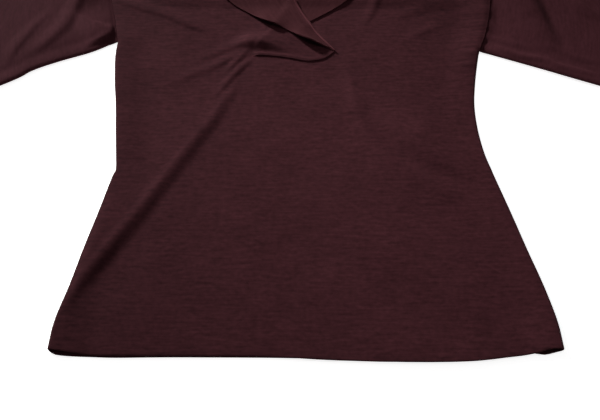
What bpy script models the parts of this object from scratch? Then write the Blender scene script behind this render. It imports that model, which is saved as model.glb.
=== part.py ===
"""A fine jersey top with a crossed V neck and a sailor collar, laid flat on its back.

Left and right are as seen from above, with the hem towards the viewer (-Y) and the neck
away (+Y). The origin is the middle of the waist, on the surface that the back lies on.
Tables and lengths are in millimetres, and the meshes are made in metres.
"""
import math
from collections import namedtuple

import bpy
import bmesh
import numpy as np

MM = 0.001

# Cloth, seams and how the layers lie, in mm. Heights are those of the middle of the wall.
CLOTH = 1.2            # wall of the front, the back and the sleeves
COLLAR_CLOTH = 1.5     # wall of the collar, which is two layers sewn together
SEAM = 0.35            # gap between two pieces at a seam
END_GAP = 0.3          # what that gap gains above and below at a seam's ends
LAYER = 1.6            # height from the back's wall to the front's where they lie together
LOFT = 1.2             # extra height of the front in the middle of the body
ROLL = 1.2             # radius of the collar's roll along the neck
FLAP_Z = 0.75          # height of the collar's back flap, flat on the surface
FOLD_RISE = 2.2        # how much higher the front stands along its side and shoulder folds
HEM_RISE = 0.7         # what the side folds gain at the hem's corners
FOLD_EDGE = 2.8        # how far in the round edge of a side or shoulder fold reaches
FOLD_REACH = 38.0      # how far from a fold the front comes down again
TONGUE_RISE = 1.7      # the left front's height over the right front
CROSS_RISE = 2.75      # what it gains where it crosses the right collar leaf
FLAP_RAMP = 16.0       # how far the back takes to come down from the back flap
LEAF_LIFT = 1.4        # how far the collar's outer edge stands off

# The garment's side edges, from the hem to the underarm.
Side = namedtuple("Side", "y left right")
SIDES = [
    Side(-268.0, -244.2, 255.6),
    Side(-238.8, -241.7, 253.3),
    Side(-200.1, -232.3, 245.2),
    Side(-159.6, -223.6, 234.0),
    Side(-117.2, -213.3, 222.8),
    Side(-72.7, -203.2, 210.4),
    Side(-64.0, -200.2, 208.2),
    Side(-41.8, -202.3, 202.6),
    Side(-9.9, -206.0, 198.6),
    Side(23.1, -209.5, 198.3),
    Side(57.3, -214.3, 202.8),
    Side(92.7, -217.6, 209.6),
]

# The hems of the front and the back: the front hangs a little short on the left.
Hem = namedtuple("Hem", "x front back")
HEMS = [
    Hem(-244.2, -268.0, -268.0),
    Hem(-224.0, -270.2, -274.6),
    Hem(-185.0, -272.2, -277.2),
    Hem(-100.0, -272.8, -276.8),
    Hem(-31.0, -274.6, -276.6),
    Hem(30.0, -278.4, -276.8),
    Hem(104.0, -280.6, -277.6),
    Hem(162.0, -279.8, -277.8),
    Hem(201.0, -275.4, -276.6),
    Hem(232.0, -270.4, -274.0),
    Hem(255.6, -268.0, -268.0),
]

# The armhole seams, from the underarms to the shoulder tips.
Arm = namedtuple("Arm", "left_x left_y right_x right_y")
ARMHOLES = [
    Arm(-217.0, 114.6, 211.6, 99.4),
    Arm(-223.6, 149.0, 223.5, 133.0),
    Arm(-231.0, 181.0, 233.0, 178.0),
    Arm(-234.0, 215.0, 235.0, 215.0),
    Arm(-228.5, 252.0, 229.0, 252.0),
    Arm(-212.0, 289.0, 212.0, 289.0),
]

# The row of stitches where the two fronts' flaps begin, and the left flap's free lip.
Point = namedtuple("Point", "x y")
JOIN = [
    Point(-217.0, 114.6), Point(-165.0, 108.0), Point(-110.0, 100.0), Point(-56.6, 93.6),
    Point(-49.0, 94.6), Point(0.0, 95.4), Point(60.0, 95.8), Point(130.0, 97.0),
    Point(211.6, 99.4),
]
SLIT_END = -56.6
UNDERLAP = -49.0
LIP = [
    Point(-56.6, 93.6), Point(-52.8, 94.9), Point(-49.0, 95.8), Point(-44.0, 95.5),
    Point(-36.0, 93.8), Point(-23.0, 91.4), Point(-9.6, 88.9), Point(1.0, 86.6),
    Point(12.0, 85.2), Point(26.3, 87.4), Point(34.0, 91.6), Point(40.4, 96.8),
]

# The neck seams of the left front (over) and the right front (under), and of the back.
NECK_LEFT = [
    Point(40.4, 96.8), Point(24.7, 120.3), Point(11.2, 140.9), Point(0.4, 160.7),
    Point(-5.9, 173.7), Point(-22.0, 208.0), Point(-42.0, 249.0), Point(-61.0, 287.0),
    Point(-78.0, 325.0),
]
NECK_RIGHT = [
    Point(-45.5, 106.5), Point(-25.0, 141.0), Point(-1.7, 177.3), Point(18.0, 213.0),
    Point(38.0, 248.0), Point(59.0, 287.0), Point(78.0, 325.0),
]
NECK_BACK = [
    Point(-78.0, 325.0), Point(-64.0, 312.5), Point(-38.0, 304.6), Point(0.0, 302.0),
    Point(38.0, 304.6), Point(64.0, 312.5), Point(78.0, 325.0),
]

# The collar's outer edge on the left front, the right front and the back.
LEAF_LEFT = [
    Point(37.0, 98.8), Point(17.0, 114.5), Point(-3.6, 125.0), Point(-24.4, 136.6),
    Point(-44.2, 147.2), Point(-63.0, 158.4), Point(-86.0, 176.0), Point(-125.0, 213.0),
    Point(-160.0, 256.0), Point(-182.0, 297.06),
]
LEAF_RIGHT = [
    Point(-42.2, 108.4), Point(-24.0, 125.0), Point(0.0, 138.6), Point(17.3, 149.6),
    Point(39.9, 164.5), Point(60.2, 180.2), Point(100.0, 213.0), Point(140.0, 252.0),
    Point(166.0, 280.0), Point(182.0, 297.06),
]
FLAP_TOP = Point(182.0, 297.06)
FLAP_CORNER = Point(165.0, 184.0)
SHOULDER_TIP = Point(212.0, 289.0)
NECK_POINT = Point(78.0, 325.0)

# The sleeves' lower and upper edges, from the armhole to the cuff.
LOWER_LEFT = [Point(-218.4, 117.0), Point(-246.0, 102.0), Point(-282.0, 88.4),
              Point(-312.0, 74.6), Point(-346.0, 52.6), Point(-502.7, -28.0)]
UPPER_LEFT = [Point(-213.0, 288.6), Point(-260.0, 281.0), Point(-307.6, 263.5),
              Point(-400.0, 200.0), Point(-567.0, 79.0)]
LOWER_RIGHT = [Point(213.7, 101.4), Point(280.0, 77.4), Point(345.0, 52.6),
               Point(511.5, -10.0)]
UPPER_RIGHT = [Point(213.0, 288.6), Point(262.0, 281.5), Point(309.0, 264.0),
               Point(405.0, 204.0), Point(571.0, 100.0)]

# The largest folds: a curve through three points, its height at each, and how far it
# reaches on its left and on its right, looking from its first point to its last.
Fold = namedtuple("Fold", "x0 y0 x1 y1 x2 y2 start middle end left right")
BODY_FOLDS = [
    Fold(-60, 90, -141, -58, -228, -202, 3.6, 6.2, 2.0, 15.0, 19.0),
    Fold(-55, 117, -92, 111, -124, 90, 1.6, 1.4, 0.3, 14.0, 12.0),
    Fold(66, 72, 96, 2, 158, -52, 0.2, 1.6, 0.3, 22.0, 16.0),
    Fold(56, 40, 80, -28, 142, -82, 0.2, 1.4, 0.3, 15.0, 24.0),
    Fold(126, -126, 160, -160, 186, -190, 0.2, 1.0, 0.2, 18.0, 16.0),
]
LEFT_SLEEVE_FOLDS = [
    Fold(-268, 176, -298, 138, -318, 108, 2.6, 3.4, 0.8, 14.0, 15.0),
    Fold(-238, 196, -262, 150, -290, 104, 1.2, 2.6, 0.6, 13.0, 13.0),
    Fold(-400, 70, -440, 62, -486, 30, 0.3, 2.2, 0.4, 16.0, 18.0),
]
RIGHT_SLEEVE_FOLDS = [
    Fold(226, 124, 282, 94, 356, 76, 1.8, 3.0, 1.2, 14.0, 16.0),
    Fold(300, 206, 314, 160, 322, 124, 1.0, 3.0, 0.8, 15.0, 13.0),
    Fold(410, 66, 452, 70, 500, 40, 0.3, 2.2, 0.4, 18.0, 16.0),
]


def ease(t):
    """0 below 0, 1 above 1, and a smooth rise between."""
    t = np.clip(t, 0.0, 1.0)
    return t * t * (3.0 - 2.0 * t)


def spline(points, per_span=12):
    """A dense line through points: Catmull-Rom spans."""
    p = np.array(points, float)
    ends = np.vstack([2 * p[0] - p[1], p, 2 * p[-1] - p[-2]])
    line = []
    for a, b, c, d in zip(ends, ends[1:], ends[2:], ends[3:]):
        for t in np.arange(per_span) / per_span:
            line.append(0.5 * (2 * b + (c - a) * t + (2 * a - 5 * b + 4 * c - d) * t ** 2
                               + (3 * b - a - 3 * c + d) * t ** 3))
    return np.vstack(line + [p[-1]])


def walk(line, t):
    """Points at the fractions t of a line's length."""
    run = np.concatenate([[0.0], np.cumsum(np.hypot(*np.diff(line, axis=0).T))])
    at = np.asarray(t, float) * run[-1]
    return np.stack([np.interp(at, run, line[:, 0]), np.interp(at, run, line[:, 1])], -1)


def nearest(x, y, line):
    """How far each x, y is from a line, its place along it (0 to 1) and its side."""
    best = np.full(np.shape(x), 1e9)
    along = np.zeros(np.shape(x))
    side = np.zeros(np.shape(x))
    spans = len(line) - 1
    for i in range(spans):
        ax, ay = line[i]
        dx, dy = line[i + 1] - line[i]
        t = np.clip(((x - ax) * dx + (y - ay) * dy) / (dx * dx + dy * dy), 0.0, 1.0)
        d = np.hypot(x - ax - t * dx, y - ay - t * dy)
        closer = d < best
        best = np.where(closer, d, best)
        along = np.where(closer, (i + t) / spans, along)
        side = np.where(closer, np.sign(dx * (y - ay) - dy * (x - ax)), side)
    return best, along, side


# Where the rows of the fronts meet the collar, as fractions of the left and right neck
# seams, and the same along the back's neck: both sides of a seam share their corners.
NECK_STEPS = np.array([0, .02, .045, .075, .11, .15, .195, .245, .30, .36, .43, .51, .60,
                       .70, .81, .91])
BACK_STEPS = np.array([.05, .12, .20, .29, .39])
UNDERLAP_STEP = .02

SIDE_LEFT = spline([(s.left, s.y) for s in SIDES] + [ARMHOLES[0][:2]], 4)
SIDE_RIGHT = spline([(s.right, s.y) for s in SIDES] + [ARMHOLES[0][2:]], 4)
ARM_LEFT = spline([a[:2] for a in ARMHOLES], 4)
ARM_RIGHT = spline([a[2:] for a in ARMHOLES], 4)
SHOULDERS = [np.array([(s * SHOULDER_TIP.x, SHOULDER_TIP.y), (s * NECK_POINT.x, NECK_POINT.y)])
             for s in (-1, 1)]
NECK_A = spline(NECK_LEFT)
NECK_B = spline(NECK_RIGHT)
LEAF_A = spline(LEAF_LEFT)
LEAF_B = spline(LEAF_RIGHT)


def to_fold(x, y):
    """Distance to the nearest side or shoulder fold; a shoulder's runs on past its ends."""
    lines = [SIDE_LEFT, SIDE_RIGHT]
    for tip, point in SHOULDERS:
        way = (point - tip) / np.hypot(*(point - tip))
        lines.append(np.array([tip - 14 * way, point + 14 * way]))
    return np.min([nearest(x, y, line)[0] for line in lines], axis=0)


def folds(x, y, table):
    """Height that the folds of a table add at x, y."""
    z = np.zeros(np.shape(x))
    for f in table:
        t = np.linspace(0.0, 1.0, 9)[:, None]
        first, mid, last = np.array([f.x0, f.y0]), np.array([f.x1, f.y1]), np.array([f.x2, f.y2])
        line = (first * (1 - t) * (1 - 2 * t) + mid * 4 * t * (1 - t) + last * t * (2 * t - 1))
        d, s, side = nearest(x, y, line)
        height = f.start * (1 - s) * (1 - 2 * s) + f.middle * 4 * s * (1 - s) \
            + f.end * s * (2 * s - 1)
        z = z + height * ease(1.0 - d / np.where(side > 0, f.left, f.right))
    return z


def back_z(x, y):
    """The back's wall: flat on the surface, and raised where it lies on the back flap."""
    half = FLAP_CORNER.x + (y - FLAP_CORNER.y) * (FLAP_TOP.x - FLAP_CORNER.x) \
        / (FLAP_TOP.y - FLAP_CORNER.y)
    out = np.hypot(0.45 * np.maximum(np.abs(x) - half, 0.0),
                   np.maximum(FLAP_CORNER.y - y, 0.0))
    over = ease(1.0 - (out - 2.0) / FLAP_RAMP)
    return CLOTH / 2 + (FLAP_Z + 2 * ROLL - CLOTH / 2) * over


def front_z(x, y):
    """The front's wall as one layer, without the round edge of its folds."""
    e = to_fold(x, y)
    rise = FOLD_RISE + HEM_RISE * ease((-180.0 - y) / 80.0)
    return back_z(x, y) + LAYER + rise * ease(1.0 - (e - FOLD_EDGE) / FOLD_REACH) \
        + LOFT * ease((e - 30.0) / 50.0) + folds(x, y, BODY_FOLDS) * ease(e / 14.0)


def crossed_z(x, y):
    """The left front's wall where it lies over the right front and its collar leaf."""
    under = np.interp(y, NECK_B[:, 1], NECK_B[:, 0])
    outer = np.interp(y, LEAF_B[:, 1], LEAF_B[:, 0])
    tongue = ease((x - under + 11.0) / 7.6)
    cross = ease((x - under + 36.0) / 26.0) * ease((outer + 36.0 - x) / 26.0) \
        * ease((y - 90.0) / 12.0)
    return front_z(x, y) + TONGUE_RISE * tongue + CROSS_RISE * cross


def fold_edges(x, y, top, below, front):
    """Round the front or the back along the side and shoulder folds, to the seam.

    They stay apart at the neck, where the collar goes round both.
    """
    e = np.minimum(to_fold(x, y), FOLD_EDGE)
    bend = np.sqrt(1.0 - ((FOLD_EDGE - e) / FOLD_EDGE) ** 2)
    neck = np.hypot(np.abs(x) - NECK_POINT.x, y - NECK_POINT.y)
    bend = bend + (1.0 - bend) * ease(1.5 - neck / 16.0)
    middle = (top + below) / 2.0
    ends = [ARM_LEFT[0], ARM_LEFT[-1], ARM_RIGHT[0], ARM_RIGHT[-1]]
    end = np.min([np.hypot(x - a, y - b) for a, b in ends], axis=0)
    gap = SEAM / 2 + END_GAP * ease(1.0 - end / 8.0)
    if front:
        return middle + gap + (top - middle - gap) * bend
    return middle - gap - (middle - gap - below) * bend


def patch(bottom, top, left, right, u, v):
    """Points of a four-sided piece, from its edges: rows v, columns u (a Coons patch)."""
    u = np.asarray(u)[None, :, None]
    v = np.asarray(v)[:, None, None]
    b, t = np.array(bottom)[None], np.array(top)[None]
    s, e = np.array(left)[:, None], np.array(right)[:, None]
    corners = ((1 - u) * (1 - v) * b[:, :1] + u * (1 - v) * b[:, -1:]
               + (1 - u) * v * t[:, :1] + u * v * t[:, -1:])
    return (1 - v) * b + v * t + (1 - u) * s + u * e - corners


def edge_steps(length):
    """Fractions of a length that follow the round edge of a fold, from the fold inwards."""
    turns = [FOLD_EDGE * (1 - math.cos(math.radians(a))) for a in (0, 16, 39, 64, 90)]
    return [t / length for t in turns]


def shoulder_steps(count):
    """Fractions of a shoulder from its tip: front and back share the first ones."""
    shared = edge_steps(139.0) + [.09, .16, .23, .30, .38]
    return shared + list(np.linspace(.38, 1.0, count - len(shared) + 1)[1:])


def sheet_mesh(name, patches, weld=0.02):
    """A mesh of grids of points, welded where they share points, in metres."""
    bm = bmesh.new()
    for grid in patches:
        rows, cols = grid.shape[:2]
        made = [[bm.verts.new(grid[r, c] * MM) for c in range(cols)] for r in range(rows)]
        for r in range(rows - 1):
            for c in range(cols - 1):
                bm.faces.new((made[r][c], made[r][c + 1], made[r + 1][c + 1], made[r + 1][c]))
    bmesh.ops.remove_doubles(bm, verts=bm.verts, dist=weld * MM)
    mesh = bpy.data.meshes.new(name)
    bm.to_mesh(mesh)
    bm.free()
    return mesh


def cloth(name, patches, wall, material, collection):
    """A named piece: its middle surface, thickened evenly to both sides."""
    mesh = sheet_mesh(name, patches)
    mesh.materials.append(material)
    mesh.shade_smooth()
    piece = bpy.data.objects.new(name, mesh)
    collection.objects.link(piece)
    shell = piece.modifiers.new("Wall", "SOLIDIFY")
    shell.thickness = wall * MM
    shell.offset = 0.0
    return piece


def jersey(name, colour, roughness):
    """A matt jersey in one colour (linear)."""
    material = bpy.data.materials.new(name)
    material.use_nodes = True
    shader = material.node_tree.nodes["Principled BSDF"]
    shader.inputs["Base Color"].default_value = (*colour, 1.0)
    shader.inputs["Roughness"].default_value = roughness
    shader.inputs["Metallic"].default_value = 0.0
    return material


def lift(plan, z):
    """Plan points with their heights."""
    return np.concatenate([plan, z[..., None]], axis=-1)


def by_x(points, x):
    """Points of a table at the given x, on straight runs between its rows."""
    p = np.array(points, float)
    return np.stack([np.asarray(x, float), np.interp(x, p[:, 0], p[:, 1])], -1)


def under_steps(steps):
    """The right front's rows above its underlap, as fractions of its neck seam."""
    return (steps - UNDERLAP_STEP) / (1 - UNDERLAP_STEP)


def hem_line(column):
    """The hem of the front or the back, from left to right."""
    return spline([(h.x, getattr(h, column)) for h in HEMS], 6)


def front_patches():
    """Below the join one grid; above it the left flap over the right flap."""
    width = 430.0
    edge = edge_steps(width)
    left_x = [-217.0 + width * f for f in edge] + [-202, -188, -173, -158, -143, -128, -113, -98, -84, -70, SLIT_END]
    slit_x = [-52.8, UNDERLAP]
    right_x = [-36, -22, -6, 12, 28, 44, 66, 94, 126, 156, 182, 198]
    right_x += [211.6 - width * f for f in reversed(edge)]
    join = by_x(JOIN, left_x + slit_x + right_x)
    u = (join[:, 0] - join[0, 0]) / (join[-1, 0] - join[0, 0])
    even = np.linspace(u[len(edge) - 1], u[-len(edge)], len(u) - 2 * len(edge) + 2)
    spread = u.copy()
    spread[len(edge) - 1:len(u) - len(edge) + 1] = even
    v = np.linspace(0.0, 1.0, 21)
    low = patch(walk(hem_line("front"), 0.35 * u + 0.65 * spread), join,
                walk(SIDE_LEFT, v), walk(SIDE_RIGHT, v), u, v)
    low_z = fold_edges(low[..., 0], low[..., 1], front_z(low[..., 0], low[..., 1]),
                       back_z(low[..., 0], low[..., 1]), True)

    up = list(NECK_STEPS) + [1 - f for f in reversed(edge_steps(200.0))]
    lip = np.array(LIP[1:], float)
    bottom = np.vstack([join[:len(left_x)], lip])
    run = np.concatenate([[0], np.cumsum(np.hypot(*np.diff(bottom, axis=0).T))])
    ul = run / run[-1]
    top = walk(SHOULDERS[0], shoulder_steps(len(ul)))
    left = patch(bottom, top, walk(ARM_LEFT, up), walk(NECK_A, up), ul, up)
    left_z = fold_edges(left[..., 0], left[..., 1], crossed_z(left[..., 0], left[..., 1]),
                        back_z(left[..., 0], left[..., 1]), True)

    bottom = join[len(left_x) + len(slit_x) - 1:]
    run = np.concatenate([[0], np.cumsum(np.hypot(*np.diff(bottom, axis=0).T))])
    ur = run / run[-1]
    neck = np.vstack([bottom[:1], walk(NECK_B, under_steps(np.array(up[1:])))])
    top = walk(SHOULDERS[1], shoulder_steps(len(ur)))[::-1]
    right = patch(bottom, top, neck, walk(ARM_RIGHT, up), ur, up)
    right_z = fold_edges(right[..., 0], right[..., 1], front_z(right[..., 0], right[..., 1]),
                         back_z(right[..., 0], right[..., 1]), True)
    left_z[0, :len(left_x)] = low_z[-1, :len(left_x)]
    right_z[0] = low_z[-1, len(left_x) + len(slit_x) - 1:]
    return [lift(low, low_z), lift(left, left_z), lift(right, right_z)]


def back_patches():
    """The back in one grid, from its hem to its shoulders and neck."""
    edge = edge_steps(440.0)
    corner = (SHOULDER_TIP.x - NECK_POINT.x) / (2 * SHOULDER_TIP.x)
    along = shoulder_steps(14)
    half = edge + [.032, .060, .084, .108, .136, .18, .225, .27, corner]
    half += [corner + (1 - 2 * corner) * f for f in BACK_STEPS]
    u = np.array(half + [0.5] + [1 - f for f in reversed(half)])
    neck = spline(NECK_BACK)
    top = []
    for i, f in enumerate(u):
        if i < len(along):
            top.append(walk(SHOULDERS[0], along[i]))
        elif i < len(u) - len(along):
            top.append(walk(neck, (f - corner) / (1 - 2 * corner)))
        else:
            top.append(walk(SHOULDERS[1], along[len(u) - 1 - i]))
    sides = [0, .07, .14, .21, .28, .35, .42, .49, .56, .635, .69, .725, .745, .765, .785]
    sides += [.80, .84, .88, .92, .96] + [1 - f for f in reversed(edge_steps(570.0))]
    v = np.array(sides)
    arm = 0.69
    left = np.vstack([walk(SIDE_LEFT, v[v <= arm] / arm),
                      walk(ARM_LEFT, (v[v > arm] - arm) / (1 - arm))])
    right = np.vstack([walk(SIDE_RIGHT, v[v <= arm] / arm),
                       walk(ARM_RIGHT, (v[v > arm] - arm) / (1 - arm))])
    plan = patch(walk(hem_line("back"), u), np.array(top), left, right, u, v)
    x, y = plan[..., 0], plan[..., 1]
    z = fold_edges(x, y, front_z(x, y) - folds(x, y, BODY_FOLDS) * ease(to_fold(x, y) / 14.0),
                   back_z(x, y), False)
    return [lift(plan, z)[:, ::-1]]


def across(seam, opening, outer, height, n):
    """One station of the collar: the seam, the roll over the neck edge, then the leaf."""
    rows = []
    for angle in (0, 45, 90, 135):
        a = math.radians(angle)
        at = seam + opening * ROLL * math.sin(a)
        rows.append((at[0], at[1], height(seam)[0] + n * ROLL * (1 - math.cos(a))))
    for w in (0.0, 0.14, 0.3, 0.48, 0.68, 0.86, 1.0):
        at = seam + (outer - seam) * w
        rows.append((at[0], at[1], height(at)[1] + n * 2 * ROLL + n * LEAF_LIFT * w ** 2
                     * height(at)[2]))
    return rows


def front_leaf(neck, leaf, hand, height, stations):
    """The collar on one front, from its tip to the shoulder."""
    seam, outer = walk(neck, stations), walk(leaf, stations)
    ahead, behind = walk(neck, np.minimum(stations + .01, 1)), walk(neck, stations - .01)
    rows = []
    for s, o, a, b in zip(seam, outer, ahead, behind):
        way = (a - b) / np.hypot(*(a - b))
        opening = hand * np.array([way[1], -way[0]])
        rows.append(across(s + opening * SEAM, opening, o, height, 1))
    return rows


def middle_and_half(at):
    """The height midway between the front and the back, and half the way between them."""
    return (front_z(*at) + back_z(*at)) / 2, (front_z(*at) - back_z(*at)) / 2


def shoulder_leaf(hand, angles):
    """The collar round one shoulder fold: hand is -1 on the left and 1 on the right."""
    tip = np.array([hand * SHOULDER_TIP.x, SHOULDER_TIP.y])
    point = np.array([hand * NECK_POINT.x, NECK_POINT.y])
    outer = np.array([hand * FLAP_TOP.x, FLAP_TOP.y])
    opening = (point - tip) / np.hypot(*(point - tip))
    outward = -hand * np.array([-opening[1], opening[0]])
    seam = point + opening * SEAM
    rows = []
    for angle in angles:
        phi = math.radians(angle)
        row = []
        middle, inner = middle_and_half(point)
        for a in (0, 45, 90, 135):
            turn = math.radians(a)
            reach = inner + ROLL * (1 - math.cos(turn))
            at = seam + opening * ROLL * math.sin(turn) + outward * 0.7 * reach * math.sin(phi)
            row.append((at[0], at[1], middle + reach * math.cos(phi)))
        for w in (0.0, 0.14, 0.3, 0.48, 0.68, 0.86, 1.0):
            middle, inner = middle_and_half(seam + (outer - seam) * w)
            reach = inner + 2 * ROLL
            at = seam + (outer - seam) * w + outward * 0.7 * reach * math.sin(phi)
            up = LEAF_LIFT * w ** 2 * max(math.cos(phi), 0.0)
            row.append((at[0], at[1], middle + reach * math.cos(phi) + up))
        rows.append(row)
    return rows


def back_leaf():
    """The square back flap, from the left shoulder to the right one."""
    t = np.concatenate([BACK_STEPS, [0.5], 1 - BACK_STEPS[::-1]])
    turn = BACK_STEPS[2]
    neck = spline(NECK_BACK)
    left = np.array([(-FLAP_TOP.x, FLAP_TOP.y), (-FLAP_CORNER.x, FLAP_CORNER.y)])
    under = left * np.array([-1, 1])
    rows = []
    for f in t:
        seam, ahead, behind = walk(neck, f), walk(neck, f + .01), walk(neck, f - .01)
        way = (ahead - behind) / np.hypot(*(ahead - behind))
        opening = np.array([-way[1], way[0]])
        if f <= turn:
            outer = walk(left, f / turn)
        elif f < 1 - turn:
            outer = walk(np.array([left[1], under[1]]), (f - turn) / (1 - 2 * turn))
        else:
            outer = walk(under, (1 - f) / turn)
        rows.append(across(seam + opening * SEAM, opening, outer,
                           lambda at: (back_z(*at), back_z(*at) * 0 + FLAP_Z + 2 * ROLL, 0), -1))
    return rows


def collar_patches():
    """One strip from the left leaf's tip round the back of the neck to the right tip."""
    def over(at):
        z = crossed_z(*at)
        return z, z, 1.0

    def under(at):
        z = front_z(*at)
        return z, z, ease((at[1] - 185.0) / 25.0)

    turn = [0, 30, 60, 90, 120, 150, 180]
    strip = front_leaf(NECK_A, LEAF_A, 1, over, NECK_STEPS)
    strip += shoulder_leaf(-1, turn)
    strip += back_leaf()
    strip += shoulder_leaf(1, turn[::-1])
    strip += front_leaf(NECK_B, LEAF_B, -1, under, under_steps(NECK_STEPS[1:]))[::-1]
    return [np.array(strip)]


def sleeve_patches(lower, upper, arm, table, hand):
    """A sleeve laid flat: rings from the armhole to the cuff, open at both ends."""
    low, high = spline(lower), spline(upper)
    t = np.array([0, .03, .07, .12, .18, .24, .31, .38, .46, .55, .65, .76, .88, 1.0])
    turns = [math.radians(a) for a in (90, 60, 30, 0, -30, -60)]
    reach = 3.4
    inner = [0.06, .14, .24, .36, .5, .64, .76, .86, .94]
    grid = []
    for step, (p, q) in enumerate(zip(walk(low, t), walk(high, t))):
        span = np.hypot(*(q - p))
        ring = [(reach * (1 - math.cos(a)) / span, math.sin(a)) for a in turns]
        ring += [(f, -1.0) for f in inner]
        ring += [(1 - f, -s) for f, s in ring[:6]]
        ring += [(f, 1.0) for f in reversed(inner)]
        f = np.array([r[0] for r in ring])
        side = np.array([r[1] for r in ring])
        bow = np.array([walk(arm, k) for k in f]) + np.array([hand * SEAM, 0])
        chord = bow[np.argmin(f)] + (bow[np.argmax(f)] - bow[np.argmin(f)]) * f[:, None]
        fade = (1 - t[step]) ** 3
        plan = p + (q - p) * f[:, None] + (bow - chord) * fade
        x, y = plan.T
        away = np.minimum(f, 1 - f) * span
        top = CLOTH / 2 + LAYER + 1.8 * ease(1 - away / 30.0) \
            + folds(x, y, table) * ease(away / 12.0)
        grid.append(lift(plan, (top + CLOTH / 2) / 2 + (top - CLOTH / 2) / 2 * side))
    grid = np.array(grid)
    grid = np.concatenate([grid, grid[:, :1]], axis=1)
    return [grid if hand < 0 else grid[:, ::-1]]


def main():
    for old in list(bpy.data.objects):
        bpy.data.objects.remove(old)
    collection = bpy.data.collections.new("sailor_collar_top")
    bpy.context.scene.collection.children.link(collection)
    body = jersey("wine jersey", (0.040, 0.014, 0.017), 0.92)
    sleeve = jersey("wine jersey sleeve", (0.042, 0.015, 0.018), 0.92)
    doubled = jersey("wine jersey collar", (0.046, 0.016, 0.019), 0.92)
    cloth("front", front_patches(), CLOTH, body, collection)
    cloth("back", back_patches(), CLOTH, body, collection)
    cloth("collar", collar_patches(), COLLAR_CLOTH, doubled, collection)
    cloth("sleeve_left", sleeve_patches(LOWER_LEFT, UPPER_LEFT, ARM_LEFT, LEFT_SLEEVE_FOLDS, -1),
          CLOTH, sleeve, collection)
    cloth("sleeve_right",
          sleeve_patches(LOWER_RIGHT, UPPER_RIGHT, ARM_RIGHT, RIGHT_SLEEVE_FOLDS, 1),
          CLOTH, sleeve, collection)


main()
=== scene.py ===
import math
from collections import namedtuple

import bpy
import bmesh
import numpy as np
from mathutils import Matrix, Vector


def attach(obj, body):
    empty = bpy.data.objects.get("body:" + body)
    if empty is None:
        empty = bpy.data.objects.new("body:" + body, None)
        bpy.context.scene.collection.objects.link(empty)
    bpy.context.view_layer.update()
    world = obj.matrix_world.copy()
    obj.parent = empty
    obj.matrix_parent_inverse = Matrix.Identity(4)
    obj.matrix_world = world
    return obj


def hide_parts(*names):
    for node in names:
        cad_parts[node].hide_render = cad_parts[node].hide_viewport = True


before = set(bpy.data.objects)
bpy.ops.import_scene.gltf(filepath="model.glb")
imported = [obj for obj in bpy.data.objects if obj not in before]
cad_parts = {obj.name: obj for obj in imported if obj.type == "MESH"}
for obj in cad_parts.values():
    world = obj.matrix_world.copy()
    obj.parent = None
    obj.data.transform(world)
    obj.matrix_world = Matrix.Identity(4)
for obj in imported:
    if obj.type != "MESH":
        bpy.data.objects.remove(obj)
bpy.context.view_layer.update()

bpy.ops.object.select_all(action="DESELECT")

# The camera: it stands at the hem's end and looks down on the laid-out top at 61 degrees,
# close enough for the sleeves and the neck to leave the frame.
bpy.ops.object.camera_add(location=(0.0, -0.5415, 0.775), rotation=(math.radians(29.0), 0.0, 0.0))
camera = bpy.context.object
camera.data.lens = 50.0
camera.data.sensor_width = 36.0
camera.data.clip_end = 20.0
bpy.context.scene.camera = camera


# The floor: a white studio sweep, painted and matt, that the top lies on.
def linear(text):
    """An sRGB hex colour as linear red, green, blue and alpha."""
    parts = [int(text[i:i + 2], 16) / 255 for i in (1, 3, 5)]
    return [c / 12.92 if c <= 0.04045 else ((c + 0.055) / 1.055) ** 2.4 for c in parts] + [1.0]


def add_node(tree, kind, settings=None, **links):
    """Add a node, set its sockets or properties, and link its inputs from other outputs."""
    made = tree.nodes.new(kind)
    for key, value in (settings or {}).items():
        if key in made.inputs:
            made.inputs[key].default_value = value
        else:
            setattr(made, key, value)
    for key, source in links.items():
        tree.links.new(source, made.inputs[key.replace("_", " ")])
    return made


def new_material(name):
    material = bpy.data.materials.new(name)
    material.use_nodes = True
    return material, material.node_tree, material.node_tree.nodes["Principled BSDF"]


bpy.ops.mesh.primitive_plane_add(size=9.0, location=(0.0, 0.0, -0.0004))
floor = bpy.context.object
floor.name = "studio_floor"
floor_white, tree, shader = new_material("white studio paint, matt")
shader.inputs["Base Color"].default_value = linear("#F4F3F2")
shader.inputs["Roughness"].default_value = 0.9
shader.inputs["Specular IOR Level"].default_value = 0.1
shader.inputs["Emission Color"].default_value = (1.0, 1.0, 1.0, 1.0)
shader.inputs["Emission Strength"].default_value = 0.8
floor.data.materials.append(floor_white)

# The light: a gridded soft box far beyond the neck, a little to the left and low enough to
# rake over the folds, a weak flash above the top's middle, and an even white surround.
for name, place, aim, size, spread, energy in (
        ("key", (-4.28, 4.61, 3.07), (0.015, 0.02, 0.0), 0.9, 9.0, 6.8),
        ("flash", (0.0, -0.12, 1.15), (-0.01, 0.0, 0.0), 0.25, 32.0, 0.12)):
    bpy.ops.object.light_add(type="AREA", location=place)
    lamp = bpy.context.object
    lamp.name = name
    lamp.data.size = size
    lamp.data.spread = math.radians(spread)
    lamp.data.energy = energy
    way = Vector(aim) - lamp.location
    lamp.rotation_euler = way.to_track_quat("-Z", "Y").to_euler()
surround = bpy.data.worlds.new("white surround")
bpy.context.scene.world = surround
surround.use_nodes = True
air = surround.node_tree.nodes["Background"]
air.inputs["Color"].default_value = (1.0, 1.0, 1.0, 1.0)
air.inputs["Strength"].default_value = 0.22
bpy.context.scene.view_settings.view_transform = "Standard"


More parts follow.
